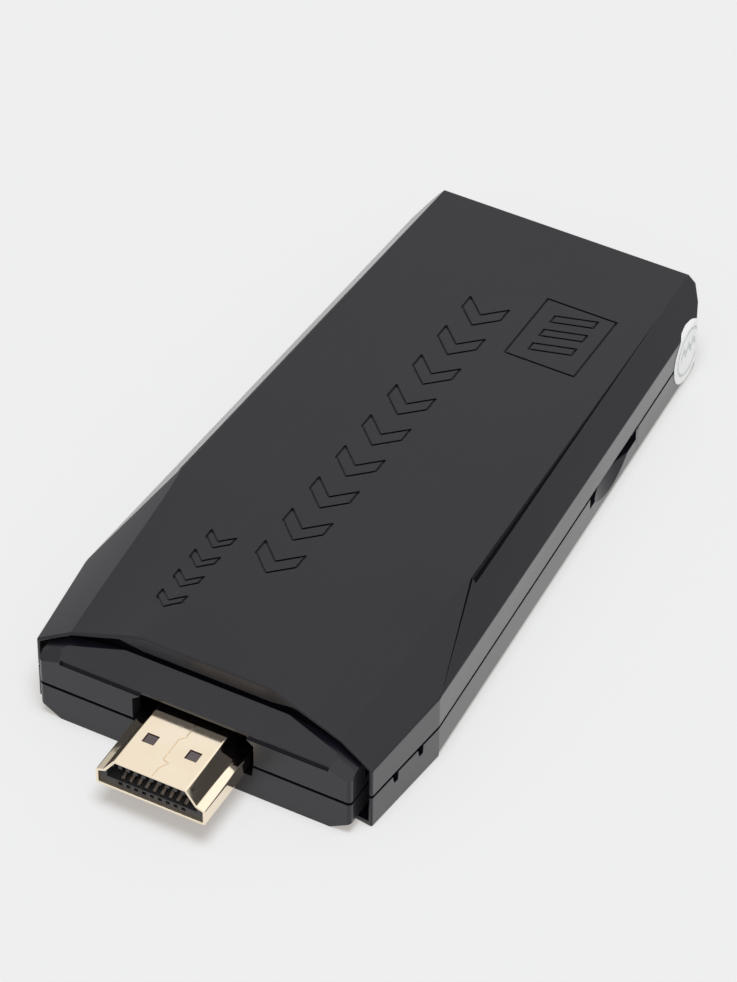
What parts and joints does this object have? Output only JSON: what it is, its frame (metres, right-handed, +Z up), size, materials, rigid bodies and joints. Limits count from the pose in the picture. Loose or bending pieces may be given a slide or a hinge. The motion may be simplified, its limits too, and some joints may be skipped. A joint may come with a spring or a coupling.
{
  "type": "streaming media player stick",
  "caption": "Plug-in streaming media stick: faceted black case, gold HDMI plug on its nose, push-push memory card slot, host port and power inlet.",
  "frame": {"origin": "middle of the footprint, plug included, at the underside of the case", "axes": "+Y from the plug towards the far end, +X towards the card slot, +Z up"},
  "size_m": [0.0458, 0.1018, 0.014],
  "materials": {
    "case_black": "satin moulded ABS with a very fine spark-eroded texture",
    "plug_gold": "bright pale gold plating on folded steel sheet",
    "insulator_black": "moulded liquid crystal polymer",
    "contact_gold": "gold flashed spring contacts",
    "board_green": "solder mask over glass fibre laminate",
    "screw_steel": "zinc plated",
    "chip_black": "moulded epoxy",
    "pad_grey": "silicone thermal pad",
    "sink_aluminium": "extruded and tumbled",
    "can_steel": "tin plated pressed sheet",
    "ceramic_white": "fired ceramic",
    "ferrite_grey": "pressed ferrite powder",
    "ceramic_tan": "fired ceramic with tinned ends",
    "slider_black": "moulded acetal",
    "spring_steel": "drawn wire",
    "card_black": "moulded card body",
    "seal_paper": "thin white paper seal with grey print"
  },
  "bodies": {
    "body": {"top_shell": "case_black", "bottom_shell": "case_black", "hdmi_shell": "plug_gold", "hdmi_insulator": "insulator_black", "hdmi_contacts_upper": "contact_gold", "hdmi_contacts_lower": "contact_gold", "main_board": "board_green", "board_screws": "screw_steel", "processor": "chip_black", "thermal_pad": "pad_grey", "heat_sink": "sink_aluminium", "memory_chip_1": "chip_black", "memory_chip_2": "chip_black", "flash_chip": "chip_black", "radio_shield": "can_steel", "chip_antenna": "ceramic_white", "crystal": "can_steel", "power_inductor_1": "ferrite_grey", "power_inductor_2": "ferrite_grey", "regulator": "chip_black", "capacitors": "ceramic_tan", "host_port_shell": "can_steel", "host_port_tongue": "insulator_black", "host_port_contacts": "contact_gold", "power_inlet_shell": "can_steel", "power_inlet_tongue": "insulator_black", "power_inlet_contacts": "contact_gold", "card_socket_base": "insulator_black", "card_socket_cover": "can_steel", "card_contacts": "contact_gold", "card_spring": "spring_steel", "seal_label": "seal_paper"},
    "slider": {"card_slider": "slider_black"},
    "card": {"memory_card": "card_black"}
  },
  "joints": [
    {"name": "card_latch", "type": "slide", "parent": "body", "child": "slider", "axis": [1, 0, 0], "range_m": [-0.0006, 0.0035], "stiffness_N_per_m": 250, "deforming": ["card_spring"]},
    {"name": "card_slide", "type": "slide", "parent": "slider", "child": "card", "axis": [1, 0, 0], "range_m": [0, 0.0155]}
  ]
}
